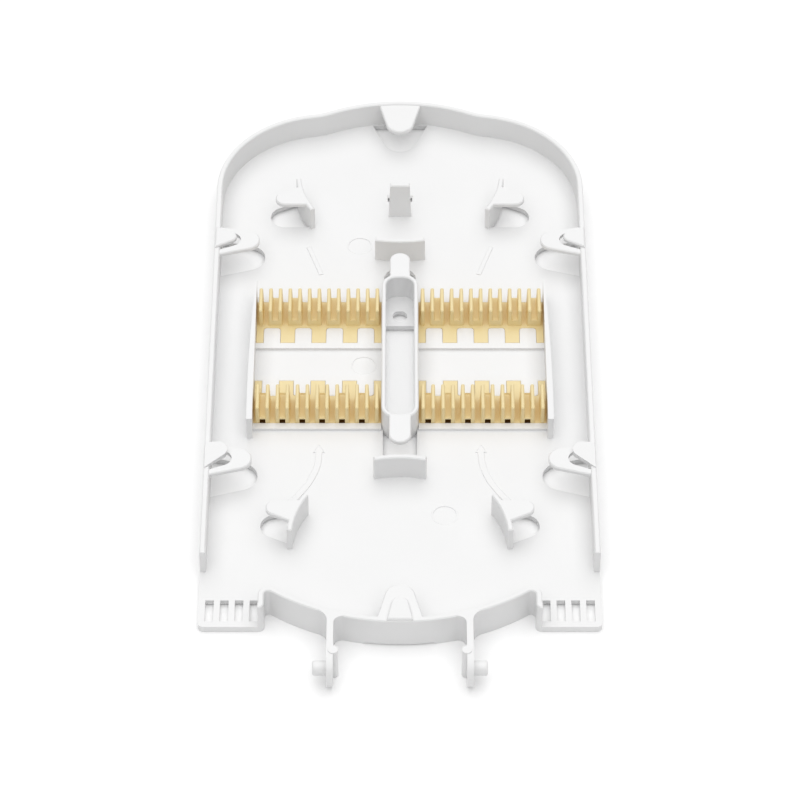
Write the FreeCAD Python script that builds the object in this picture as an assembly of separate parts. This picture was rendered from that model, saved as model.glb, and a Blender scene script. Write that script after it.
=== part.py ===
"""Fibre splice tray: a shallow white moulded tray with four snap-in splice combs.

X runs across the tray, +Y points away from the hinge pins and +Z is up.
The origin is under the middle of the tray, on the surface that it stands on. All lengths are in mm.
"""
import FreeCAD, Part
import math
import os

V = FreeCAD.Vector

# Overall size of the moulding
tray_width = 107.5          # across the side walls, outside
tray_length = 224.8         # from the rear bulge to the ends of the hinge arms
wall_top = 9.8              # height of the rim above the ground
floor_thickness = 1.4
floor_bottom = 0.6          # the outer walls reach this far below the floor
wall_thickness = 1.6
edge_break = 0.3            # bevel along every exposed top edge

# Rear outline
corner_radius = 32.3        # rear corners
corner_setback = 38.0       # from the rearmost point to where the side walls meet the corner arcs
bulge_radius = 51.0         # arc across the middle of the rear wall
bulge_blend_radius = 15.0   # hollow between the bulge and a corner

# Front outline, feet and tie slots
hinge_reach = 16.8          # from the curved front wall to the ends of the arms
bay_radius = 60.0           # radius of the curved front wall
bay_corner_radius = 1.2     # rounding where the front wall meets a foot
foot_reach = 4.83           # in front of the rounding where the front wall meets the foot
foot_width = 17.65
foot_corner_radius = 1.5
foot_corner_least = 0.2     # rounding that is left on the inner outline
side_wall_setback = 19.6    # the side walls stop this far behind the front of the feet
slot_count = 4
slot_width = 2.3
slot_length = 7.4
slot_side_margin = 1.75     # from the first and last slot to the foot's edges
slot_front_margin = 2.0

# Hinge arms
arm_outer_x = 19.3
arm_thickness = 1.75
arm_inner_root = 2.2        # fillets where an arm leaves the front wall
arm_outer_root = 3.6
pin_diameter = 4.0
pin_length = 3.7
pin_chamfer = 0.35
stop_post_diameter = 2.7    # half-round post on the inner face of an arm
stop_post_rise = 0.25       # above the arm
stop_post_setback = 2.1     # from the pin's axis

# Retaining tabs
tab_thickness = 1.2
tab_drop = 0.4              # how far the tabs lie below the rim
end_tab_tip_radius = 4.05   # tabs in the middle of the rear and front walls
end_tab_length = 12.0       # from the wall's inner face to the tip
end_tab_base_width = 12.8
end_hole_margin = 0.7       # the core hole in the floor is larger by this at the tip
end_hole_base_width = 16.4
end_hole_wall_gap = 1.0     # floor left between this hole and the wall
front_pad_rise = 0.8        # stacking pad on the front tab
front_pad_width = 6.9
front_pad_length = 8.2
front_pad_tip_radius = 2.3
stack_recess_width = 17.8   # clearance under the front wall for the pad of the tray below
stack_recess_ramp = 0.8     # slope at each end of the recess

# Side clips: a wide tab with a raised catch over a core hole in it
rear_clip_setback = 60.6    # from the rearmost point to the middle of the rear pair
front_clip_setback = 59.8   # from the curved front wall to the middle of the front pair
clip_reach = 11.5           # from the wall's inner face to the tip
clip_tip_radius = 3.85
clip_front_spread = 6.3     # the tab widens towards the wall, to the front by this
clip_rear_spread = 5.6
clip_hole_margin = 1.4
catch_reach = 4.8           # from the wall's inner face to the tip
catch_front_edge = 4.1      # from the clip's middle
rear_catch_edge = 4.6       # and on the other side
front_catch_edge = 4.1
rear_catch_rise = 0.7       # above the rim
rear_catch_slope = 0.0      # fall of its top towards the front, over its length
rear_catch_tip_y = 0.3
rear_catch_tip_radius = 2.0
front_catch_rise = 1.75
front_catch_slope = 1.35
front_catch_tip_y = 2.0
front_catch_tip_radius = 2.6
catch_hole_length = 8.6
catch_hole_tip_radius = 2.7
catch_hole_reach = 6.0

# Coil guides: the fibre loops run outside these arcs
coil_radius = 29.2          # inside of the guide walls
guide_thickness = 1.45
rear_coil_setback = 32.4    # from the rearmost point to the centre of the rear loop
front_coil_setback = 30.4   # from the curved front wall to the centre of the front loop
guide_low_angle = 4.5       # a guide wall spans these angles, from the X axis
guide_high_angle = 31.5
guide_tab_low_angle = 10.8
guide_tab_high_angle = 26.9
guide_tip_x = 33.7          # centre of the tab's round tip, from the coil's centre
guide_tip_y = 10.8
guide_tip_radius = 2.7
guide_hole_margin = 1.6
guide_hole_extra_angle = 2.5
center_guide_width = 14.0   # guides across the middle of the tray
rear_center_radius = 41.0
front_center_radius = 29.2
rear_center_shift = 1.0     # the rear one sits this far inside the coil's circle

# Central well, with a fixing pad and a tongue at each end
splice_shift = -0.2         # the well's middle, from halfway between the front and rear walls
well_length = 57.4
well_width = 10.4
well_corner_radius = 4.5
well_wall = 1.25
fixing_pad_length = 12.25   # the well is open through the floor in front of this
screw_hole_diameter = 4.2
screw_hole_setback = 8.25   # from the well's rear end, inside
rear_tongue_width = 5.8
rear_tongue_reach = 8.9
front_tongue_width = 6.1
front_tongue_reach = 9.5
tongue_hole_margin = 1.7

# Rear snap peg
peg_setback = 43.0          # from the rearmost point to the peg's front face
peg_thickness = 1.4
peg_base_width = 6.7
peg_top_width = 5.7
peg_top = 14.3
peg_lug_width = 7.4
peg_lug_low = 7.65
peg_lug_high = 9.45
peg_lug_setback = 0.2
peg_lug_break = 0.3
peg_relief_width = 0.4      # blind slit between a lug and the plate
peg_relief_height = 1.3
peg_relief_depth = 1.1
peg_relief_x = 3.3

# Splice platforms and the combs in them
comb_spacing_y = 31.9       # between the middles of the rear and front platforms
platform_height = 0.8       # above the floor
comb_clearance = 0.1        # round a comb's base, in its pocket
pocket_floor = 1.0          # material left under a comb
pocket_margin_legs = 2.2    # platform left beyond the legs
pocket_margin_back = 2.3    # and on the other side
comb_base_front = 0.9       # the base reaches this far beyond the body, between the legs
comb_depth = 9.6            # of the body, along Y
comb_leg_length = 6.9       # beyond the body
comb_leg_width = 4.0
comb_leg_count = 3          # between the two end legs
comb_end_leg_width = 2.0
comb_leg_round = 0.9
comb_end_margin = 0.505     # base left beyond the first and last finger
finger_count = 13
finger_pitch = 2.77
finger_root_width = 1.35
finger_tip_width = 1.0
finger_height = 5.85        # above the base
finger_top_break = 0.25
finger_edge_break = 0.3     # bevel of a finger's upright edges
finger_sink = 0.4           # how far a finger reaches down into the base
trough_floor = 1.8          # the paired fingers share a trough this high above the base
trough_lip = 0.35
core_width = 1.65           # moulding core under each trough
core_height = 1.4
core_sink = 0.8             # the core reaches this far down into the base
core_depth = 6.0

# Walls at the outer ends of the platforms
zone_wall_overhang = 2.95   # beyond the front platform
zone_wall_front_width = 1.6
zone_wall_rear_width = 0.35
zone_wall_bow = 0.45        # the outer face is bowed by this

# Shallow round marks in the floor
mark_diameter = 6.4
mark_depth = 0.15
rear_mark_x = -11.7
rear_mark_setback = 23.0    # in front of the rear loop's centre
front_mark_x = 12.2
front_mark_setback = 15.0   # behind the front loop's centre
middle_mark_x = -10.3
middle_mark_setback = 0.6   # in front of the well's middle

# Values that follow from the sizes above
half_width = tray_width / 2
rear_y = tray_length / 2
pin_y = -tray_length / 2 + wall_top / 2
corner_center_y = rear_y - corner_setback
bulge_center_y = rear_y - bulge_radius
bay_front_y = -tray_length / 2 + hinge_reach
bay_center_y = bay_front_y + bay_radius
foot_inner_x = half_width - foot_width
notch_x = foot_inner_x - bay_corner_radius
notch_y = bay_center_y - math.sqrt((bay_radius + bay_corner_radius) ** 2 - notch_x ** 2)
foot_front_y = notch_y - foot_reach
side_wall_end_y = foot_front_y + side_wall_setback
slot_pitch = (foot_width - 2 * slot_side_margin - slot_width) / (slot_count - 1)
rear_coil_y = rear_y - rear_coil_setback
front_coil_y = bay_front_y + front_coil_setback
splice_center_y = (rear_y + bay_front_y) / 2 + splice_shift
wall_inner_x = half_width - wall_thickness
tab_top = wall_top - tab_drop
tab_bottom = tab_top - tab_thickness
floor_top = floor_bottom + floor_thickness
platform_top = floor_top + platform_height
pocket_bottom = floor_bottom + pocket_floor
well_half = well_width / 2
well_inner_rear_y = splice_center_y + well_length / 2 - well_wall
arm_inner_x = arm_outer_x - arm_thickness
comb_width = (finger_count - 1) * finger_pitch + finger_root_width + 2 * comb_end_margin
comb_length = comb_depth + comb_leg_length
comb_leg_pitch = comb_width / (comb_leg_count + 1)
zone_width = comb_width + 2 * comb_clearance
zone_outer_x = well_half + zone_width
zone_center_x = well_half + zone_width / 2
platform_length = comb_length + pocket_margin_legs + pocket_margin_back
comb_shift = (pocket_margin_back - pocket_margin_legs) / 2
through = 1.0               # how far a cutting tool passes beyond the surface that it cuts


def line(a, b):
    """Straight edge between two points of the XY plane."""
    return Part.LineSegment(V(a[0], a[1], 0), V(b[0], b[1], 0)).toShape()


def arc(a, middle, b):
    """Arc through three points of the XY plane."""
    return Part.Arc(V(a[0], a[1], 0), V(middle[0], middle[1], 0), V(b[0], b[1], 0)).toShape()


def on_circle(center, radius, toward):
    """The point of a circle that lies towards another point."""
    dx, dy = toward[0] - center[0], toward[1] - center[1]
    scale = radius / math.hypot(dx, dy)
    return center[0] + dx * scale, center[1] + dy * scale


def halfway(a, b):
    """The middle of two points."""
    return (a[0] + b[0]) / 2, (a[1] + b[1]) / 2


def at_angle(center, radius, degrees):
    """The point of a circle at an angle from the X axis."""
    turn = math.radians(degrees)
    return center[0] + radius * math.cos(turn), center[1] + radius * math.sin(turn)


def prism(edges, low, high):
    """Solid between two heights over a closed outline."""
    face = Part.Face(Part.Wire(Part.__sortEdges__(edges)))
    solid = face.extrude(V(0, 0, high - low))
    solid.translate(V(0, 0, low))
    return solid


def block(x0, x1, y0, y1, z0, z1):
    """Box between two corners."""
    return Part.makeBox(x1 - x0, y1 - y0, z1 - z0, V(x0, y0, z0))


def polygon(points):
    """Closed outline through points of the XY plane."""
    return [line(a, b) for a, b in zip(points, points[1:] + points[:1])]


def mirrored(shape):
    """The shape as seen in the YZ plane."""
    return shape.mirror(V(0, 0, 0), V(1, 0, 0))


def both_sides(shape):
    """A shape on the -X side and its twin on the +X side."""
    return [shape, mirrored(shape)]


def break_top(solid):
    """Bevels the edges that lie in the highest plane of a solid."""
    top = solid.BoundBox.ZMax
    edges = [e for e in solid.Edges if min(v.Z for v in e.Vertexes) > top - 1e-4]
    return solid.makeChamfer(edge_break, edges).Solids[0]


def tangent_point(point, center, radius, side):
    """Where the tangent from a point touches a circle, on the side given by the sign."""
    dx, dy = point[0] - center[0], point[1] - center[1]
    base = math.atan2(dy, dx)
    spread = math.acos(radius / math.hypot(dx, dy))
    return at_angle(center, radius, math.degrees(base + side * spread))


def finger_outline(base_a, base_b, center, radius):
    """Outline of a tab: two straight sides from a base line to a round tip.

    base_a lies clockwise of base_b, seen from the tip.
    """
    touch_a = tangent_point(base_a, center, radius, -1)
    touch_b = tangent_point(base_b, center, radius, 1)
    middle = ((base_a[0] + base_b[0]) / 2, (base_a[1] + base_b[1]) / 2)
    tip = on_circle(center, radius, (2 * center[0] - middle[0], 2 * center[1] - middle[1]))
    return [line(base_a, touch_a), arc(touch_a, tip, touch_b), line(touch_b, base_b), line(base_b, base_a)]


def tray_outline(inset):
    """Outline of the whole tray, moved inwards by an inset."""
    side = half_width - inset
    corner = (-(half_width - corner_radius), corner_center_y)
    bulge = (0, bulge_center_y)
    bay = (0, bay_center_y)

    # Centre of the circle that blends a rear corner into the bulge
    to_corner = corner_radius + bulge_blend_radius
    to_bulge = bulge_radius + bulge_blend_radius
    gap = math.hypot(corner[0] - bulge[0], corner[1] - bulge[1])
    along = (to_corner ** 2 - to_bulge ** 2 + gap ** 2) / (2 * gap)
    offset = math.sqrt(to_corner ** 2 - along ** 2)
    ux, uy = (bulge[0] - corner[0]) / gap, (bulge[1] - corner[1]) / gap
    blend = (corner[0] + ux * along - uy * offset, corner[1] + uy * along + ux * offset)
    corner_touch = on_circle(corner, corner_radius - inset, blend)
    bulge_touch = on_circle(bulge, bulge_radius - inset, blend)
    blend_middle = on_circle(blend, bulge_blend_radius + inset, halfway(corner_touch, bulge_touch))

    # Centre of the rounding between a foot and the front wall
    notch = (-notch_x, notch_y)
    notch_touch = on_circle(bay, bay_radius - inset, notch)
    notch_radius = bay_corner_radius + inset
    foot_edge = -foot_inner_x - inset

    # Feet, from the side wall to the front bay
    foot_front = foot_front_y + inset
    corner_round = max(foot_corner_radius - inset, foot_corner_least)
    outer_round = (-side + corner_round, foot_front + corner_round)
    inner_round = (foot_edge - corner_round, foot_front + corner_round)

    left = [
        arc(at_angle(corner, corner_radius - inset, 180), at_angle(corner, corner_radius - inset, 140),
            corner_touch),
        arc(corner_touch, blend_middle, bulge_touch),
        line((-side, corner_center_y), (-side, outer_round[1])),
        arc((-side, outer_round[1]), at_angle(outer_round, corner_round, 225), (outer_round[0], foot_front)),
        line((outer_round[0], foot_front), (inner_round[0], foot_front)),
        arc((inner_round[0], foot_front), at_angle(inner_round, corner_round, 315),
            (foot_edge, inner_round[1])),
        line((foot_edge, inner_round[1]), (foot_edge, notch[1])),
        arc((foot_edge, notch[1]), at_angle(notch, notch_radius, 130), notch_touch),
    ]
    right = [mirrored(e) for e in left]
    middle = [
        arc(bulge_touch, (0, rear_y - inset), (-bulge_touch[0], bulge_touch[1])),
        arc(notch_touch, (0, bay_front_y + inset), (-notch_touch[0], notch_touch[1])),
    ]
    return left + right + middle


def slot_outline(width, y0, y1):
    """Outline of a slot along Y with round ends, about the middle plane; y0 and y1 are the tips."""
    r = width / 2
    return [
        line((-r, y0 + r), (-r, y1 - r)), arc((-r, y1 - r), (0, y1), (r, y1 - r)),
        line((r, y1 - r), (r, y0 + r)), arc((r, y0 + r), (0, y0), (-r, y0 + r)),
    ]


def rounded_outline(half_x, y0, y1, radius):
    """Outline of a rectangle about the middle plane, with round corners."""
    edges = []
    for sign_x, end_y, sign_y in ((1, y1, 1), (-1, y1, 1), (-1, y0, -1), (1, y0, -1)):
        center = (sign_x * (half_x - radius), end_y - sign_y * radius)
        on_side = (sign_x * half_x, center[1])
        on_end = (center[0], end_y)
        edges.append(arc(on_side, on_circle(center, radius, (sign_x * half_x, end_y)), on_end))
    edges.append(line((half_x, y1 - radius), (half_x, y0 + radius)))
    edges.append(line((-half_x, y1 - radius), (-half_x, y0 + radius)))
    edges.append(line((half_x - radius, y1), (radius - half_x, y1)))
    edges.append(line((half_x - radius, y0), (radius - half_x, y0)))
    return edges


def arc_wall(center, start, end, inner=coil_radius):
    """Outline of a guide's wall between two angles."""
    outer = inner + guide_thickness
    middle = (start + end) / 2
    points = [at_angle(center, r, a) for r in (inner, outer) for a in (start, middle, end)]
    return [
        arc(*points[:3]), arc(*points[3:]),
        line(points[0], points[3]), line(points[2], points[5]),
    ]


def rim_wall():
    """Wall round the tray, cut away along the feet."""
    ring = prism(tray_outline(0), 0, wall_top).cut(
        prism(tray_outline(wall_thickness), -through, wall_top + through))
    ring = break_top(ring)
    foot_wall_x = foot_inner_x + wall_thickness
    gap = block(-half_width - through, -foot_wall_x, foot_front_y - through, side_wall_end_y,
                floor_top, wall_top + through)
    return ring.cut(gap).cut(mirrored(gap))


def end_tab(rear):
    """Retaining tab in the middle of the rear or front wall, and the hole under it."""
    sign = 1 if rear else -1
    wall_y = rear_y - wall_thickness if rear else bay_front_y + wall_thickness
    base_y = wall_y + sign * wall_thickness / 2
    center = (0, wall_y - sign * (end_tab_length - end_tab_tip_radius))

    def outline(base_width, radius, at_y):
        a, b = (sign * base_width / 2, at_y), (-sign * base_width / 2, at_y)
        return finger_outline(a, b, center, radius)

    tab = break_top(prism(outline(end_tab_base_width, end_tab_tip_radius, base_y), tab_bottom, tab_top))
    hole_base_y = wall_y - sign * end_hole_wall_gap
    hole = prism(outline(end_hole_base_width, end_tab_tip_radius + end_hole_margin, hole_base_y),
                 -through, floor_top + through)
    return tab, hole


def front_pad():
    """Stacking pad on the front tab, flush with the front wall."""
    tip_y = bay_front_y + front_pad_length
    center = (0, tip_y - front_pad_tip_radius)
    base_y = bay_front_y + edge_break
    outline = finger_outline((-front_pad_width / 2, base_y), (front_pad_width / 2, base_y), center,
                             front_pad_tip_radius)
    return break_top(prism(outline, tab_bottom, wall_top + front_pad_rise))


def stack_recess():
    """Cut under the front wall, from its face to the hole under the front tab."""
    half = stack_recess_width / 2
    front = bay_front_y - through
    points = [V(-half - stack_recess_ramp, front, 0), V(half + stack_recess_ramp, front, 0),
              V(half, front, floor_bottom), V(-half, front, floor_bottom)]
    depth = through + 2 * wall_thickness
    return Part.Face(Part.makePolygon(points + points[:1])).extrude(V(0, depth, 0))


def catch(y, rear_edge, rise, slope, tip_y, tip_radius):
    """Raised catch on a clip; its top falls by the slope towards the front."""
    base_x = edge_break - half_width
    front, rear = y - catch_front_edge, y + rear_edge
    tip = (-wall_inner_x + catch_reach - tip_radius, y + tip_y)
    solid = break_top(prism(finger_outline((base_x, rear), (base_x, front), tip, tip_radius), tab_top,
                            wall_top + rise))
    if slope > 0:
        top = wall_top + rise
        ramp = Part.makePolygon([V(base_x - through, rear, top), V(base_x - through, front, top - slope),
                                 V(base_x - through, front, top + through),
                                 V(base_x - through, rear, top + through), V(base_x - through, rear, top)])
        solid = solid.cut(Part.Face(ramp).extrude(V(clip_reach, 0, 0)))
    return solid


def rear_catch(y):
    """Catch of a rear clip."""
    return catch(y, rear_catch_edge, rear_catch_rise, rear_catch_slope, rear_catch_tip_y,
                 rear_catch_tip_radius)


def front_catch(y):
    """Catch of a front clip."""
    return catch(y, front_catch_edge, front_catch_rise, front_catch_slope, front_catch_tip_y,
                 front_catch_tip_radius)


def side_clip(y):
    """Wide tab on the left wall, the hole through it and the hole in the floor under it."""
    base_x = -wall_inner_x - wall_thickness / 2
    tip = (-wall_inner_x + clip_reach - clip_tip_radius, y)
    spread_y = (y - clip_front_spread, y + clip_rear_spread)
    tab_outline = finger_outline((base_x, spread_y[1]), (base_x, spread_y[0]), tip, clip_tip_radius)
    tab = break_top(prism(tab_outline, tab_bottom, tab_top))

    hole_x = -wall_inner_x
    floor_hole = prism(
        finger_outline((hole_x, spread_y[1] + clip_hole_margin), (hole_x, spread_y[0] - clip_hole_margin),
                       tip, clip_tip_radius + clip_hole_margin),
        -through, floor_top + through)

    catch_hole_tip = (hole_x + catch_hole_reach - catch_hole_tip_radius, y)
    hole_outline = finger_outline((hole_x, y + catch_hole_length / 2), (hole_x, y - catch_hole_length / 2),
                                  catch_hole_tip, catch_hole_tip_radius)
    catch_hole = prism(hole_outline, tab_bottom - through, tab_top + through)
    return tab.cut(catch_hole), floor_hole


def coil_guide(coil_y, rear):
    """Guide wall with its tab on the left of a coil, and the hole under the tab."""
    sign = -1 if rear else 1
    center = (0, coil_y)

    def turned(degrees):
        return 180 - sign * degrees

    wall = break_top(prism(arc_wall(center, turned(guide_low_angle), turned(guide_high_angle)), floor_bottom,
                          wall_top))
    tip = (-guide_tip_x, coil_y + sign * guide_tip_y)
    base_radius = coil_radius + guide_thickness / 2
    ends = [at_angle(center, base_radius, turned(a)) for a in (guide_tab_low_angle, guide_tab_high_angle)]
    if rear:
        ends.reverse()
    tab = break_top(prism(finger_outline(ends[0], ends[1], tip, guide_tip_radius),
                          wall_top - tab_thickness, wall_top))
    hole_radius = coil_radius + guide_thickness
    extra = guide_hole_extra_angle
    hole_angles = (guide_tab_low_angle - extra, guide_tab_high_angle + extra)
    hole_ends = [at_angle(center, hole_radius, turned(a)) for a in hole_angles]
    if rear:
        hole_ends.reverse()
    hole = prism(finger_outline(hole_ends[0], hole_ends[1], tip, guide_tip_radius + guide_hole_margin),
                 -through, floor_top + through)
    hole = hole.cut(prism(arc_wall(center, turned(0), turned(90)), -2 * through, wall_top))
    return wall.fuse(tab), hole


def center_guide(rear):
    """Guide wall across the middle of the tray."""
    radius = rear_center_radius if rear else front_center_radius
    half_angle = math.degrees(math.asin(center_guide_width / 2 / radius))
    center_y = front_coil_y + coil_radius - radius
    if rear:
        center_y = rear_coil_y - coil_radius + radius + rear_center_shift
    middle = 270 if rear else 90
    return break_top(prism(arc_wall((0, center_y), middle - half_angle, middle + half_angle, radius),
                           floor_bottom, wall_top))


def tongue(width, reach, rear):
    """Retaining tongue on an end of the central well, and the hole under it."""
    sign = 1 if rear else -1
    end_y = splice_center_y + sign * well_length / 2
    tips = sorted((end_y - sign * width, end_y + sign * reach))
    solid = prism(slot_outline(width, tips[0], tips[1]), wall_top - tab_thickness, wall_top)
    hole_width = width + 2 * tongue_hole_margin
    hole_tips = sorted((end_y - sign * hole_width, end_y + sign * (reach + tongue_hole_margin)))
    hole = prism(slot_outline(hole_width, hole_tips[0], hole_tips[1]), -through, floor_top + through)
    return solid, hole


def well_outline(inset):
    """Outline of the central well, moved inwards by an inset."""
    y0 = splice_center_y - well_length / 2 + inset
    y1 = splice_center_y + well_length / 2 - inset
    return rounded_outline(well_half - inset, y0, y1, well_corner_radius - inset)


def central_well():
    """Walls of the well with both tongues, and the cuts that belong to it."""
    outer = prism(well_outline(0), floor_bottom, wall_top)
    inside = prism(well_outline(well_wall), -2 * through, wall_top + through)
    rear_tongue, rear_hole = tongue(rear_tongue_width, rear_tongue_reach, True)
    front_tongue, front_hole = tongue(front_tongue_width, front_tongue_reach, False)
    walls = outer.fuse([rear_tongue, front_tongue]).removeSplitter().cut(inside)
    walls = break_top(walls)
    opening = inside.common(block(-well_width, well_width, splice_center_y - well_length,
                                  well_inner_rear_y - fixing_pad_length, -through, floor_top + through))
    screw_hole = Part.makeCylinder(screw_hole_diameter / 2, floor_top + 2 * through,
                                   V(0, well_inner_rear_y - screw_hole_setback, -through))
    cuts = [opening, screw_hole, rear_hole.cut(outer), front_hole.cut(outer)]
    return walls, cuts


def snap_peg():
    """Tapered peg at the rear with a lug on each side."""
    base, top = peg_base_width / 2, peg_top_width / 2
    y0 = rear_y - peg_setback
    y1 = y0 + peg_thickness
    points = [V(-base, y1, floor_bottom), V(base, y1, floor_bottom), V(top, y1, peg_top), V(-top, y1, peg_top)]
    plate = Part.Face(Part.makePolygon(points + points[:1])).extrude(V(0, -peg_thickness, 0))
    plate = break_top(plate)
    lugs = block(-peg_lug_width / 2, peg_lug_width / 2, y0 + peg_lug_setback, y1, peg_lug_low, peg_lug_high)
    corners = [e for e in lugs.Edges if abs(e.Vertexes[0].Y - e.Vertexes[1].Y) > peg_thickness / 2]
    lugs = lugs.makeChamfer(peg_lug_break, corners)
    middle = (peg_lug_low + peg_lug_high) / 2
    relief = block(-peg_relief_x - peg_relief_width / 2, -peg_relief_x + peg_relief_width / 2, y0 - through,
                   y0 + peg_relief_depth, middle - peg_relief_height / 2, middle + peg_relief_height / 2)
    return plate.fuse(lugs).cut(both_sides(relief))


def hinge_arm():
    """Left hinge arm with its pin and stop post."""
    x0 = -arm_outer_x
    radius = wall_top / 2
    root_y = bay_center_y - math.sqrt((bay_radius - wall_thickness / 2) ** 2 - arm_outer_x ** 2)
    profile = [
        Part.LineSegment(V(x0, root_y, 0), V(x0, pin_y, 0)).toShape(),
        Part.Arc(V(x0, pin_y, 0), V(x0, pin_y - radius, radius), V(x0, pin_y, wall_top)).toShape(),
        Part.LineSegment(V(x0, pin_y, wall_top), V(x0, root_y, wall_top)).toShape(),
        Part.LineSegment(V(x0, root_y, wall_top), V(x0, root_y, 0)).toShape(),
    ]
    arm = Part.Face(Part.Wire(profile)).extrude(V(arm_thickness, 0, 0))
    pin = Part.makeCylinder(pin_diameter / 2, pin_length, V(x0 - pin_length, pin_y, radius), V(1, 0, 0))
    pin = pin.makeChamfer(pin_chamfer, [e for e in pin.Edges
                                        if e.BoundBox.XMax < x0 - pin_length + 1e-4])
    post = Part.makeCylinder(stop_post_diameter / 2, wall_top + stop_post_rise,
                             V(-arm_inner_x, pin_y + stop_post_setback, 0))
    return arm.fuse([pin, post, arm_roots()])


def arm_roots():
    """Fillets between the left arm and the curved front wall."""
    roots = []
    for face_x, away, r in ((-arm_outer_x, -1, arm_outer_root), (-arm_inner_x, 1, arm_inner_root)):
        x = face_x + away * r
        y = bay_center_y - math.sqrt((bay_radius + r) ** 2 - x ** 2)
        in_arm = face_x - away * arm_thickness / 2
        touch = on_circle((0, bay_center_y), bay_radius, (x, y))
        inside = on_circle((0, bay_center_y), bay_radius - wall_thickness / 2, (in_arm, touch[1]))
        middle = on_circle((x, y), r, halfway((face_x, y), touch))
        corner = (in_arm, y)
        outline = [arc((face_x, y), middle, touch), line(touch, inside), line(inside, corner),
                   line(corner, (face_x, y))]
        roots.append(prism(outline, 0, wall_top))
    return roots[0].fuse(roots[1])


def zone_wall():
    """Wall at the outer end of the left platforms, bowed on its outer face."""
    reach = comb_spacing_y / 2 + platform_length / 2
    front, rear = splice_center_y - reach - zone_wall_overhang, splice_center_y + reach
    inner = -zone_outer_x
    a, b = (inner, front), (inner, rear)
    c, d = (inner - zone_wall_rear_width, rear), (inner - zone_wall_front_width, front)
    bow = ((c[0] + d[0]) / 2 - zone_wall_bow, (c[1] + d[1]) / 2)
    return prism([line(a, b), line(b, c), arc(c, bow, d), line(d, a)], floor_bottom, wall_top)


def comb_places():
    """Name, middle of the platform and facing of each comb; facing -1 has its legs to the front."""
    places = []
    for row, sign in (("rear", 1), ("front", -1)):
        y = splice_center_y + sign * comb_spacing_y / 2
        for side, x in (("left", -zone_center_x), ("right", zone_center_x)):
            places.append((row + "_" + side + "_comb", x, y, -sign))
    return places


def placed(shape, x, y, z, facing):
    """A copy of a comb or pocket on its platform, turned so that its legs face +Y or -Y."""
    copy = shape.copy()
    if facing < 0:
        copy.rotate(V(0, 0, 0), V(0, 0, 1), 180)
    copy.translate(V(x, y + facing * comb_shift, z))
    return copy


def comb_root(margin):
    """Where the gaps between the legs end."""
    return comb_depth + comb_base_front - comb_length / 2 + margin


def comb_footprint(margin):
    """Outline of a comb's base about its middle, legs towards +Y, grown by a margin."""
    half = comb_width / 2 + margin
    back = -comb_length / 2 - margin
    root = comb_root(margin)
    tip = comb_length / 2 + margin
    points = [(-half, back), (-half, tip), (-half + comb_end_leg_width + 2 * margin, tip)]
    for leg in range(comb_leg_count):
        middle = (leg - (comb_leg_count - 1) / 2) * comb_leg_pitch
        left = middle - comb_leg_width / 2 - margin
        right = middle + comb_leg_width / 2 + margin
        points += [(points[-1][0], root), (left, root), (left, tip), (right, tip)]
    points += [(points[-1][0], root), (half - comb_end_leg_width - 2 * margin, root)]
    points += [(points[-1][0], tip), (half, tip), (half, back)]
    return polygon(points)


def comb_base(margin, low, high):
    """Base plate of a comb, or with a margin the pocket for it."""
    plate = prism(comb_footprint(margin), low, high)
    root = comb_root(margin)
    notch_edges = [e for e in plate.Edges
                   if all(abs(v.Y - root) < 1e-4 for v in e.Vertexes)
                   and abs(e.Vertexes[0].Z - e.Vertexes[1].Z) > 1e-4]
    if margin > 0:
        # The pocket's corners are bevelled, clear of the roundings between the comb's legs
        return plate.makeChamfer(comb_leg_round, notch_edges)
    return plate.makeFillet(comb_leg_round, notch_edges)


def finger(x):
    """One finger of a comb: a drafted blade with bevelled edges."""
    root, tip = finger_root_width / 2, finger_tip_width / 2
    points = [V(x - root, 0, -finger_sink), V(x + root, 0, -finger_sink), V(x + tip, 0, finger_height),
              V(x - tip, 0, finger_height)]
    blade = Part.Face(Part.makePolygon(points + points[:1])).extrude(V(0, comb_depth, 0))
    upright = [e for e in blade.Edges if abs(e.Vertexes[0].Z - e.Vertexes[1].Z) > finger_height / 2]
    blade = blade.makeChamfer(finger_edge_break, upright)
    top = [e for e in blade.Edges if min(v.Z for v in e.Vertexes) > finger_height - 1e-4]
    return blade.makeChamfer(finger_top_break, top)


def trough(x):
    """Block between two paired fingers, with a lip at the legs' end, and the core under it."""
    half = finger_pitch / 2
    body = block(x - half, x + half, 0, comb_depth, -finger_sink, trough_floor)
    lip = Part.makePolygon([V(x - half, comb_depth, trough_floor - trough_lip),
                            V(x - half, comb_depth, trough_floor + trough_lip),
                            V(x - half, comb_depth - 2 * trough_lip, trough_floor - trough_lip),
                            V(x - half, comb_depth, trough_floor - trough_lip)])
    lip = Part.Face(lip).extrude(V(finger_pitch, 0, 0))
    core = block(x - core_width / 2, x + core_width / 2, -through, core_depth, -core_sink, core_height)
    return body.fuse(lip), core


def make_comb():
    """One comb about its middle, legs towards +Y, its base's top at height zero."""
    base = comb_base(0, pocket_bottom - platform_top, 0)
    back = -comb_length / 2
    first = -(finger_count - 1) / 2 * finger_pitch
    solids, cores = [], []
    for number in range(finger_count):
        x = first + number * finger_pitch
        solids.append(finger(x))
        if number % 2 == 1:
            continue
        if number + 1 < finger_count:
            body, core = trough(x + finger_pitch / 2)
            solids.append(body)
            cores.append(core)
    for shape in solids + cores:
        shape.translate(V(0, back, 0))
    comb = base.fuse(solids)
    for core in cores:
        comb = comb.cut(core)
    return comb.removeSplitter()


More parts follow.
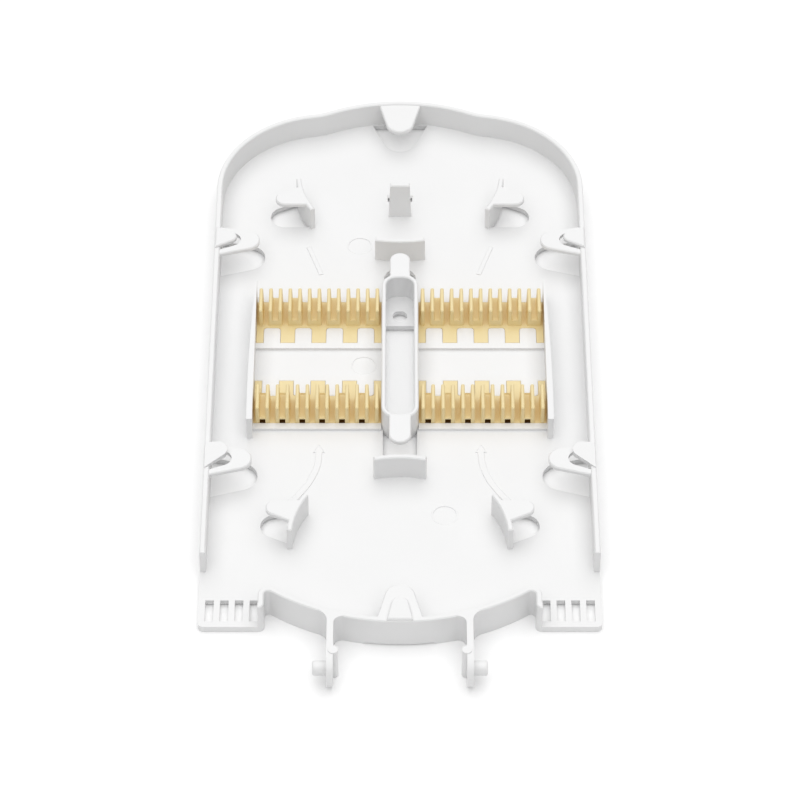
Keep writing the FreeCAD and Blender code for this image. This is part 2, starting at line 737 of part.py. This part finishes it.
def make_tray():
    """The white moulding."""
    solids = [rim_wall(), front_pad(), snap_peg()] + both_sides(hinge_arm()) + both_sides(zone_wall())
    cuts = []
    for rear in (True, False):
        tab, hole = end_tab(rear)
        solids.append(tab)
        cuts.append(hole)
        coil_y = rear_coil_y if rear else front_coil_y
        guide, guide_hole = coil_guide(coil_y, rear)
        clip_y = rear_y - rear_clip_setback if rear else bay_front_y + front_clip_setback
        clip, clip_hole = side_clip(clip_y)
        raised = rear_catch(clip_y) if rear else front_catch(clip_y)
        for shape in (guide, clip, raised):
            solids += both_sides(shape)
        for shape in (guide_hole, clip_hole):
            cuts += both_sides(shape)
        solids.append(center_guide(rear))
    well, well_cuts = central_well()
    solids.append(well)
    cuts += well_cuts

    slot_y = foot_front_y + slot_front_margin
    for number in range(slot_count):
        x = -half_width + slot_side_margin + number * slot_pitch
        slot = block(x, x + slot_width, slot_y, slot_y + slot_length, -through, floor_top + through)
        cuts += both_sides(slot)
    marks = (
        (rear_mark_x, rear_coil_y - rear_mark_setback),
        (front_mark_x, front_coil_y + front_mark_setback),
        (middle_mark_x, splice_center_y - middle_mark_setback),
    )
    for x, y in marks:
        cuts.append(Part.makeCylinder(mark_diameter / 2, through, V(x, y, floor_top - mark_depth)))

    pocket = comb_base(comb_clearance, pocket_bottom, platform_top + through)
    for name, x, y, facing in comb_places():
        platform = block(x - zone_width / 2, x + zone_width / 2, y - platform_length / 2,
                         y + platform_length / 2, floor_bottom, platform_top)
        solids.append(platform)
        cuts.append(placed(pocket, x, y, 0, facing))

    floor = prism(tray_outline(0), floor_bottom, floor_top)
    tray = floor.cut(cuts).fuse([s.cut([c for c in cuts if c.BoundBox.ZMax > floor_top + through + 0.1])
                                 for s in solids])
    return tray.cut(stack_recess()).removeSplitter()


def main():
    """Builds every piece and writes it to its own file."""
    os.makedirs("parts", exist_ok=True)
    pieces = {"splice_tray": make_tray()}
    comb = make_comb()
    for name, x, y, facing in comb_places():
        pieces[name] = placed(comb, x, y, platform_top, facing)
    for name, shape in pieces.items():
        shape.exportStep("parts/" + name + ".step")
        box = shape.BoundBox
        print(name, "solids", len(shape.Solids), "valid", shape.isValid(), "volume", round(shape.Volume, 1),
              "x", round(box.XMin, 2), round(box.XMax, 2), "y", round(box.YMin, 2), round(box.YMax, 2),
              "z", round(box.ZMin, 2), round(box.ZMax, 2))


main()
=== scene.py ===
"""Looks of the fibre splice tray: its finishes, its relief marks and a plain white studio."""

import logging
import math
from dataclasses import dataclass
from enum import Enum
from typing import Any, Mapping, Sequence

import bmesh
import bpy
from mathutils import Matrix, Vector


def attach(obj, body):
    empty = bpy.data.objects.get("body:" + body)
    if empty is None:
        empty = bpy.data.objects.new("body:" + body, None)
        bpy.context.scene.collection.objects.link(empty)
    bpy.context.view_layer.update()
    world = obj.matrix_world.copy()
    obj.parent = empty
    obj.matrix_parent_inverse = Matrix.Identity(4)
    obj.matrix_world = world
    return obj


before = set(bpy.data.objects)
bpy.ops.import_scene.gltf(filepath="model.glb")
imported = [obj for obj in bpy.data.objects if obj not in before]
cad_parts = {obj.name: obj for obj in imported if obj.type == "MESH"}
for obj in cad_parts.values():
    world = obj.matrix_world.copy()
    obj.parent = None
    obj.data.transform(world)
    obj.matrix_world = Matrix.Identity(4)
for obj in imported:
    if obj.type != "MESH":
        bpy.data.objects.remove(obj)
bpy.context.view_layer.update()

LOG = logging.getLogger("splice_tray")
MM = 0.001
FLOOR_TOP = 2.0  # mm above the ground
# Middle of each comb in mm, and the way that its legs point along Y
COMB_PLACES = ((-23.1, 24.1, -1), (23.1, 24.1, -1), (-23.1, -7.7, 1), (23.1, -7.7, 1))
IMAGE_SIDE = 800
PAPER_GAP_MM = 0.02  # the paper lies this far below the tray, so that no faces share a plane
# Size in mm of the lumps of a satin mould's grain. The real ones are about a third of this: they
# are drawn coarser, so that they show at all.
SATIN_GRAIN_MM = 0.35
GRAIN_DETAIL = 2.0  # octaves of finer noise
WAVE_DETAIL = 1.0
NOISE_LOW, NOISE_HIGH = 0.3, 0.7  # nearly all of the noise lies between these

Point = tuple[float, float]


class Side(Enum):
    """The two halves of the tray, by the sign of X."""

    LEFT = -1
    RIGHT = 1


def linear(hex_colour: str) -> tuple[float, float, float, float]:
    """Turns an sRGB colour into the linear values that a shader takes.

    Args:
        hex_colour: Six hex digits, such as "F4F4F2".

    Returns:
        Linear red, green, blue and an alpha of 1.
    """
    parts = [int(hex_colour[i : i + 2], 16) / 255 for i in (0, 2, 4)]
    red, green, blue = (c / 12.92 if c <= 0.04045 else ((c + 0.055) / 1.055) ** 2.4 for c in parts)
    return red, green, blue, 1.0


def add_node(
    tree: bpy.types.NodeTree,
    kind: str,
    settings: Mapping[str | int, Any] | None = None,
    links: Mapping[str | int, bpy.types.NodeSocket] | None = None,
) -> bpy.types.Node:
    """Adds a shader node with its settings and links.

    Args:
        tree: The node tree that it goes into.
        kind: Name of the node's type.
        settings: Values by input name, or by attribute name where there is no such input.
        links: Output sockets by the name of the input that they feed.

    Returns:
        The new node.
    """
    node = tree.nodes.new(kind)
    for name, value in (settings or {}).items():
        if isinstance(name, int) or name in node.inputs:
            node.inputs[name].default_value = value
        else:
            setattr(node, name, value)
    for name, source in (links or {}).items():
        tree.links.new(source, node.inputs[name])
    return node


def larger(
    tree: bpy.types.NodeTree, first: bpy.types.NodeSocket, second: bpy.types.NodeSocket
) -> bpy.types.NodeSocket:
    """Adds a node that gives the larger of two values.

    Args:
        tree: The node tree that it goes into.
        first: Socket of the one value.
        second: Socket of the other value.

    Returns:
        The socket that carries the larger value.
    """
    node = add_node(tree, "ShaderNodeMath", {"operation": "MAXIMUM"}, {0: first, 1: second})
    return node.outputs["Value"]


def empty_material(name: str) -> tuple[bpy.types.Material, bpy.types.NodeTree, bpy.types.Node]:
    """Makes a material that holds only its output.

    Args:
        name: The material's name.

    Returns:
        The material, its node tree and the output node.
    """
    material = bpy.data.materials.new(name)
    material.use_nodes = True
    tree = material.node_tree
    tree.nodes.clear()
    return material, tree, tree.nodes.new("ShaderNodeOutputMaterial")


@dataclass(frozen=True)
class MouldedPlastic:
    """A plastic as it comes out of an injection mould, with its grain and its slow waviness."""

    name: str
    colour: str
    ior: float
    roughness: float
    roughness_spread: float
    grain_mm: float
    grain_height_mm: float
    wave_mm: float
    wave_height_mm: float
    # Painted glow: an emission that stands in for light scattered inside the plastic, which is no
    # lamp
    painted_glow: float = 0.0
    painted_glow_colour: str = "FFFFFF"

    def build(self) -> bpy.types.Material:
        """Builds the material.

        Returns:
            A material with its colour on the shader's own socket.
        """
        material, tree, output = empty_material(self.name)
        place = add_node(tree, "ShaderNodeTexCoord").outputs["Object"]
        grain = self._noise(tree, place, self.grain_mm, GRAIN_DETAIL)
        wave = self._noise(tree, place, self.wave_mm, WAVE_DETAIL)
        rough = add_node(
            tree,
            "ShaderNodeMapRange",
            {
                "From Min": NOISE_LOW,
                "From Max": NOISE_HIGH,
                "To Min": self.roughness - self.roughness_spread,
                "To Max": self.roughness + self.roughness_spread,
            },
            {"Value": wave},
        )
        # The waviness is the shrinkage of the wall, and the grain is the mould's own surface
        wavy = add_node(
            tree,
            "ShaderNodeBump",
            {"Strength": 1.0, "Distance": self.wave_height_mm * MM},
            {"Height": wave},
        )
        grainy = add_node(
            tree,
            "ShaderNodeBump",
            {"Strength": 1.0, "Distance": self.grain_height_mm * MM},
            {"Height": grain, "Normal": wavy.outputs["Normal"]},
        )
        shader = add_node(
            tree,
            "ShaderNodeBsdfPrincipled",
            {
                "Base Color": linear(self.colour),
                "IOR": self.ior,
                "Metallic": 0.0,
                "Emission Color": linear(self.painted_glow_colour),
                "Emission Strength": self.painted_glow,
            },
            {"Roughness": rough.outputs["Result"], "Normal": grainy.outputs["Normal"]},
        )
        tree.links.new(shader.outputs["BSDF"], output.inputs["Surface"])
        return material

    @staticmethod
    def _noise(
        tree: bpy.types.NodeTree, place: bpy.types.NodeSocket, size_mm: float, detail: float
    ) -> bpy.types.NodeSocket:
        """Adds noise whose lumps have a size in mm.

        Args:
            tree: The material's node tree.
            place: Socket that gives the place in metres.
            size_mm: Distance from lump to lump.
            detail: Octaves of finer noise.

        Returns:
            The socket that carries the noise, from 0 to 1.
        """
        settings = {"Scale": 1 / (size_mm * MM), "Detail": detail, "Roughness": 0.5}
        return add_node(tree, "ShaderNodeTexNoise", settings, {"Vector": place}).outputs["Fac"]


# White ABS from a fine satin mould: bright and even, with a soft broad highlight
TRAY_ABS = MouldedPlastic(
    name="injection_moulded_white_ABS",
    colour="E6E6E6",
    ior=1.53,
    roughness=0.34,
    roughness_spread=0.05,
    grain_mm=SATIN_GRAIN_MM,
    grain_height_mm=0.004,
    wave_mm=14.0,
    wave_height_mm=0.02,
)

# Beige thermoplastic elastomer: a softer sheen, and an even warm painted glow, an emission that
# stands in for the light that bleeds through its thin fingers
COMB_ELASTOMER = MouldedPlastic(
    name="moulded_beige_thermoplastic_elastomer",
    colour="D7CB9F",
    ior=1.58,
    roughness=0.42,
    roughness_spread=0.06,
    grain_mm=SATIN_GRAIN_MM,
    grain_height_mm=0.006,
    wave_mm=5.0,
    wave_height_mm=0.02,
    painted_glow=0.105,
    painted_glow_colour="FFBE50",
)

# Painted shade: the same elastomer deep inside the combs' cores, drawn darker than it is, so that
# the windows read almost black
CORE_PAINTED_SHADE = MouldedPlastic(
    name="painted_shade_of_the_cores",
    colour="4A3416",
    ior=1.50,
    roughness=0.6,
    roughness_spread=0.05,
    grain_mm=SATIN_GRAIN_MM,
    grain_height_mm=0.006,
    wave_mm=5.0,
    wave_height_mm=0.02,
)


@dataclass(frozen=True)
class StudioPaper:
    """Matt white paper that reads as plain white and still takes the tray's shadow."""

    name: str = "matt_white_studio_paper"
    colour: str = "F1F1F1"
    lift: float = 0.10

    def build(self) -> bpy.types.Material:
        """Builds the material.

        Returns:
            A diffuse white that is lifted a little wherever it is seen, and lights nothing by it.
        """
        material, tree, output = empty_material(self.name)
        paths = add_node(tree, "ShaderNodeLightPath").outputs
        seen = larger(tree, paths["Is Camera Ray"], paths["Is Glossy Ray"])
        seen = larger(tree, seen, paths["Is Transmission Ray"])
        strength = add_node(
            tree, "ShaderNodeMath", {"operation": "MULTIPLY", 1: self.lift}, {0: seen}
        )
        paper = add_node(tree, "ShaderNodeBsdfDiffuse", {"Color": linear(self.colour)})
        light = add_node(
            tree, "ShaderNodeEmission", links={"Strength": strength.outputs["Value"]}
        )
        both = add_node(
            tree,
            "ShaderNodeAddShader",
            links={0: paper.outputs["BSDF"], 1: light.outputs["Emission"]},
        )
        tree.links.new(both.outputs["Shader"], output.inputs["Surface"])
        return material


def mesh_object(
    name: str, mesh: bmesh.types.BMesh, material: bpy.types.Material
) -> bpy.types.Object:
    """Turns a bmesh into an object of the scene.

    Args:
        name: The object's name.
        mesh: The finished mesh, which is freed.
        material: Its only material.

    Returns:
        The new object, at the origin.
    """
    data = bpy.data.meshes.new(name)
    bmesh.ops.recalc_face_normals(mesh, faces=mesh.faces)
    mesh.to_mesh(data)
    mesh.free()
    data.materials.append(material)
    thing = bpy.data.objects.new(name, data)
    bpy.context.collection.objects.link(thing)
    return thing


def dress(node: str, material: bpy.types.Material) -> None:
    """Puts a plastic on a piece whose shape is complete in the frame.

    Args:
        node: The piece's name in the frame.
        material: The built finish.
    """
    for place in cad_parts[node].material_slots:
        place.material = material


@dataclass
class TrayBody:
    """The white moulding."""

    node: str = "splice_tray"
    finish: MouldedPlastic = TRAY_ABS

    def build(self) -> bpy.types.Material:
        """Dresses the moulding.

        Returns:
            The white plastic, for the relief marks that belong to the same moulding.
        """
        material = self.finish.build()
        dress(self.node, material)
        LOG.info("%s: white plastic", self.node)
        return material


@dataclass
class SpliceCombs:
    """The four beige combs."""

    nodes: tuple[str, ...] = (
        "rear_left_comb",
        "rear_right_comb",
        "front_left_comb",
        "front_right_comb",
    )
    finish: MouldedPlastic = COMB_ELASTOMER

    def build(self) -> None:
        """Dresses the combs in one elastomer."""
        material = self.finish.build()
        for node in self.nodes:
            dress(node, material)
            LOG.info("%s: beige elastomer", node)


@dataclass
class RouteMarks:
    """Shallow relief on the floor that shows which way the fibres run. Sizes are in mm."""

    height: float = 0.18
    sunk: float = 0.05
    edge: float = 0.18
    rim_drop: float = 0.5  # of the height, from the flat top to the outer rim
    shaft_width: float = 1.8
    shaft_path: tuple[Point, ...] = (
        (-22.4, -26.6),
        (-22.9, -31.8),
        (-24.9, -37.8),
        (-28.2, -43.3),
        (-30.4, -46.0),
    )
    head: tuple[Point, ...] = ((-24.0, -26.8), (-22.5, -23.7), (-20.9, -26.8))
    rear_width: float = 1.3
    rear_path: tuple[Point, ...] = ((-26.6, 56.3), (-24.7, 50.6), (-22.8, 44.7))
    steps: int = 8

    def build(self, material: bpy.types.Material) -> None:
        """Builds the marks on both sides.

        Args:
            material: The tray's plastic.
        """
        for side in Side:
            # The shaft's outline ends where the head's base begins, so both make one outline
            arrow = self._band(self.shaft_path, self.shaft_width) + list(self.head)
            self._mark("front_arrow_" + side.name.lower(), arrow, side, material)
            band = self._band(self.rear_path, self.rear_width)
            self._mark("rear_line_" + side.name.lower(), band, side, material)

    def _band(self, path: Sequence[Point], width: float) -> list[Point]:
        """Outlines a band of even width along a smooth path.

        Args:
            path: Points that the middle of the band passes.
            width: The band's width in mm.

        Returns:
            The outline, once round.
        """
        middle = self._smooth(path)
        left, right = [], []
        for i, here in enumerate(middle):
            before, after = middle[max(i - 1, 0)], middle[min(i + 1, len(middle) - 1)]
            along = (after - before).normalized()
            across = Vector((-along.y, along.x)) * width / 2
            left.append(tuple(here + across))
            right.append(tuple(here - across))
        return left + right[::-1]

    def _smooth(self, path: Sequence[Point]) -> list[Vector]:
        """Runs a smooth line through the points of a path.

        Args:
            path: The points, at least two.

        Returns:
            Closer points on one smooth line.
        """
        points = [Vector(p) for p in path]
        ends = [points[0] * 2 - points[1], *points, points[-1] * 2 - points[-2]]
        line = []
        for a, b, c, d in zip(ends, ends[1:], ends[2:], ends[3:]):
            for step in range(self.steps):
                t = step / self.steps
                square = (a * 2 - b * 5 + c * 4 - d) * t**2
                cube = (b * 3 - a - c * 3 + d) * t**3
                line.append((b * 2 + (c - a) * t + square + cube) / 2)
        return line + [points[-1]]

    def _mark(
        self, name: str, outline: Sequence[Point], side: Side, material: bpy.types.Material
    ) -> None:
        """Raises an outline from the floor, with sloping edges.

        Args:
            name: The piece's name.
            outline: Its outline on the left half, in mm.
            side: The half that it goes on.
            material: Its plastic.
        """
        mesh = bmesh.new()
        sign = -side.value
        low = (FLOOR_TOP - self.sunk) * MM
        bottom = mesh.faces.new([mesh.verts.new((sign * x * MM, y * MM, low)) for x, y in outline])
        top = bmesh.ops.extrude_face_region(mesh, geom=[bottom])["geom"]
        raised = [v for v in top if isinstance(v, bmesh.types.BMVert)]
        bmesh.ops.translate(mesh, vec=(0, 0, (self.height + self.sunk) * MM), verts=raised)
        lid = [f for f in top if isinstance(f, bmesh.types.BMFace)]
        bmesh.ops.inset_region(mesh, faces=lid, thickness=self.edge * MM, depth=0)
        rim = [v for v in raised if v.is_valid]
        bmesh.ops.translate(mesh, vec=(0, 0, -self.height * self.rim_drop * MM), verts=rim)
        piece = mesh_object(name, mesh, material)
        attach(piece, "root")
        LOG.info("%s: relief %.2f mm high", name, self.height)


@dataclass
class CorePaintedShade:
    """Painted shade: thin dark sheets on the floors of the moulding cores, which open under the
    fingers. Sizes are in mm.
    """

    # Middles of the cores from the comb's middle, where the legs point towards +Y
    middles: tuple[float, ...] = (-15.235, -9.695, -4.155, 1.385, 6.925, 12.465)
    mouth: float = -8.15
    depth: float = 5.8
    width: float = 1.6
    bottom: float = 1.99
    top: float = 2.03
    finish: MouldedPlastic = CORE_PAINTED_SHADE

    def build(self) -> None:
        """Lays a thin dark sheet of painted shade into each core."""
        mesh = bmesh.new()
        for middle_x, middle_y, facing in COMB_PLACES:
            for middle in self.middles:
                x, y = middle_x + facing * middle, middle_y + facing * (self.mouth + self.depth / 2)
                slab = bmesh.ops.create_cube(mesh, size=1.0)["verts"]
                size = Vector((self.width, self.depth, self.top - self.bottom)) * MM
                bmesh.ops.scale(mesh, vec=size, verts=slab)
                place = Vector((x, y, (self.top + self.bottom) / 2)) * MM
                bmesh.ops.translate(mesh, vec=place, verts=slab)
        # The sheets are painted shade: dark sheets put where the cores hold only shade
        painted_shade_sheets = mesh_object("comb_core_painted_shade", mesh, self.finish.build())
        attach(painted_shade_sheets, "root")
        LOG.info("comb_core_painted_shade: %d cores", len(COMB_PLACES) * len(self.middles))


@dataclass
class PocketCorners:
    """The roundings of the pockets between the combs' legs, over their bevels. Sizes are in mm."""

    # Left and right edge of each white tooth between two legs, from the comb's middle
    teeth: tuple[Point, ...] = ((-15.7, -11.0), (-6.8, -2.1), (2.1, 6.8), (11.0, 15.7))
    root: float = 2.35
    radius: float = 0.9
    bottom: float = 1.6
    top: float = 2.8
    steps: int = 8

    def build(self, material: bpy.types.Material) -> None:
        """Fills each bevel up to its rounding.

        Args:
            material: The tray's plastic.
        """
        mesh = bmesh.new()
        for middle_x, middle_y, facing in COMB_PLACES:
            for edges in self.teeth:
                for edge, side in zip(edges, Side):
                    corner = self._rounding(edge, side.value)
                    self._raise(mesh, [(middle_x + x, middle_y + facing * y) for x, y in corner])
        corners = mesh_object("pocket_corner_rounds", mesh, material)
        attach(corners, "root")
        LOG.info("pocket_corner_rounds: radius %.1f mm", self.radius)

    def _rounding(self, edge: float, side: int) -> list[Point]:
        """Outlines what lies between a corner's bevel and its rounding.

        Args:
            edge: The tooth's edge, from the comb's middle.
            side: -1 at the tooth's left edge, 1 at its right edge.

        Returns:
            The outline, with the bevel as its last line.
        """
        center_x, center_y = edge - side * self.radius, self.root + self.radius
        outline = []
        for step in range(self.steps + 1):
            angle = math.pi / 2 * step / self.steps
            x = center_x + side * self.radius * math.cos(angle)
            outline.append((x, center_y - self.radius * math.sin(angle)))
        return outline

    def _raise(self, mesh: bmesh.types.BMesh, outline: Sequence[Point]) -> None:
        """Adds a prism over an outline.

        Args:
            mesh: The mesh that it goes into.
            outline: Its outline in mm.
        """
        lower = [mesh.verts.new((x * MM, y * MM, self.bottom * MM)) for x, y in outline]
        upper = [mesh.verts.new((x * MM, y * MM, self.top * MM)) for x, y in outline]
        mesh.faces.new(lower)
        mesh.faces.new(upper)
        for i in range(len(outline)):
            j = (i + 1) % len(outline)
            mesh.faces.new((lower[i], lower[j], upper[j], upper[i]))


@dataclass
class EjectorRings:
    """Faint rings round the marks of the mould's ejector pins in the floor. Sizes are in mm."""

    places: tuple[Point, ...] = ((-11.7, 57.0), (12.2, -50.2), (-10.3, 7.6))
    # Radius and height of each line of the ring's section, from the outside in
    section: tuple[Point, ...] = ((3.8, -0.05), (3.65, 0.045), (3.35, 0.045), (3.2, -0.05))
    sides: int = 64

    def build(self, material: bpy.types.Material) -> None:
        """Builds a ring at each place.

        Args:
            material: The tray's plastic.
        """
        for number, place in enumerate(self.places, 1):
            ring = mesh_object(f"ejector_ring_{number}", self._ring(place), material)
            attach(ring, "root")
            LOG.info("ejector_ring_%d: radius %.1f mm", number, self.section[0][0])

    def _ring(self, place: Point) -> bmesh.types.BMesh:
        """Turns the section once round a place.

        Args:
            place: The ring's middle in mm.

        Returns:
            The closed ring.
        """
        mesh = bmesh.new()
        turns = []
        for step in range(self.sides):
            angle = math.tau * step / self.sides
            turn = []
            for radius, height in self.section:
                x = (place[0] + radius * math.cos(angle)) * MM
                y = (place[1] + radius * math.sin(angle)) * MM
                turn.append(mesh.verts.new((x, y, (FLOOR_TOP + height) * MM)))
            turns.append(turn)
        for here, there in zip(turns, turns[1:] + turns[:1]):
            for i in range(len(self.section)):
                j = (i + 1) % len(self.section)
                mesh.faces.new((here[i], here[j], there[j], there[i]))
        return mesh


@dataclass(frozen=True)
class SoftBox:
    """One large lamp, aimed at the tray. Lengths are in metres and the power in watts."""

    name: str
    place: tuple[float, float, float]
    target: tuple[float, float, float]
    width: float
    depth: float
    power: float

    def build(self) -> None:
        """Adds the lamp."""
        lamp = bpy.data.lights.new(self.name, "AREA")
        lamp.shape = "RECTANGLE"
        lamp.size = self.width
        lamp.size_y = self.depth
        lamp.energy = self.power
        holder = bpy.data.objects.new(self.name, lamp)
        holder.location = self.place
        aim = Vector(self.target) - Vector(self.place)
        holder.rotation_euler = aim.to_track_quat("-Z", "Y").to_euler()
        bpy.context.collection.objects.link(holder)
        LOG.info("%s: %.1f W", self.name, self.power)


@dataclass
class Studio:
    """Floor, sky, lamp and camera. Lengths are in metres."""

    floor_side: float = 6.0
    sky_strength: float = 0.45
    lamp: SoftBox = SoftBox(
        name="overhead_softbox",
        place=(0.0, 0.05, 1.3),
        target=(0.0, 0.0, 0.0),
        width=2.0,
        depth=3.4,
        power=27.5,
    )
    camera_place: tuple[float, float, float] = (0.0, -0.7639, 0.7730)
    camera_down: float = 45.5  # degrees below the horizon
    camera_reach: float = 20.0
    focal_pixels: float = 3850.0
    sensor_mm: float = 36.0

    def build(self) -> None:
        """Builds the whole studio."""
        self._floor()
        self._sky()
        self.lamp.build()
        self._camera()

    def _floor(self) -> None:
        """Lays the paper under the tray."""
        mesh = bmesh.new()
        bmesh.ops.create_grid(mesh, x_segments=1, y_segments=1, size=self.floor_side / 2)
        bmesh.ops.translate(mesh, vec=(0, 0, -PAPER_GAP_MM * MM), verts=mesh.verts)
        floor = mesh_object("studio_floor", mesh, StudioPaper().build())
        LOG.info("studio_floor: %.0f m square", self.floor_side)

    def _sky(self) -> None:
        """Lights the scene evenly, and shows plain white where a ray meets nothing."""
        world = bpy.data.worlds.new("white_studio")
        bpy.context.scene.world = world
        world.use_nodes = True
        tree = world.node_tree
        tree.nodes.clear()
        paths = add_node(tree, "ShaderNodeLightPath").outputs
        white = linear("FFFFFF")
        soft = add_node(
            tree, "ShaderNodeBackground", {"Color": white, "Strength": self.sky_strength}
        )
        plain = add_node(tree, "ShaderNodeBackground", {"Color": white, "Strength": 1.0})
        seen = larger(tree, paths["Is Camera Ray"], paths["Is Transmission Ray"])
        mix = add_node(
            tree,
            "ShaderNodeMixShader",
            links={0: seen, 1: soft.outputs["Background"], 2: plain.outputs["Background"]},
        )
        output = tree.nodes.new("ShaderNodeOutputWorld")
        tree.links.new(mix.outputs["Shader"], output.inputs["Surface"])

    def _camera(self) -> None:
        """Sets the camera where the photograph was taken from."""
        data = bpy.data.cameras.new("photo_camera")
        data.sensor_width = self.sensor_mm
        data.lens = self.focal_pixels * self.sensor_mm / IMAGE_SIDE
        data.clip_end = self.camera_reach
        camera = bpy.data.objects.new("photo_camera", data)
        camera.location = self.camera_place
        camera.rotation_euler = (math.radians(90 - self.camera_down), 0.0, 0.0)
        bpy.context.collection.objects.link(camera)
        bpy.context.scene.camera = camera
        LOG.info("photo_camera: lens %.1f mm", data.lens)


def main() -> None:
    """Builds the scene in order."""
    logging.basicConfig(level=logging.INFO, format="%(name)s: %(message)s")
    bpy.context.scene.view_settings.view_transform = "Standard"
    white = TrayBody().build()
    SpliceCombs().build()
    RouteMarks().build(white)
    EjectorRings().build(white)
    PocketCorners().build(white)
    CorePaintedShade().build()
    Studio().build()


if __name__ == "__main__":
    main()
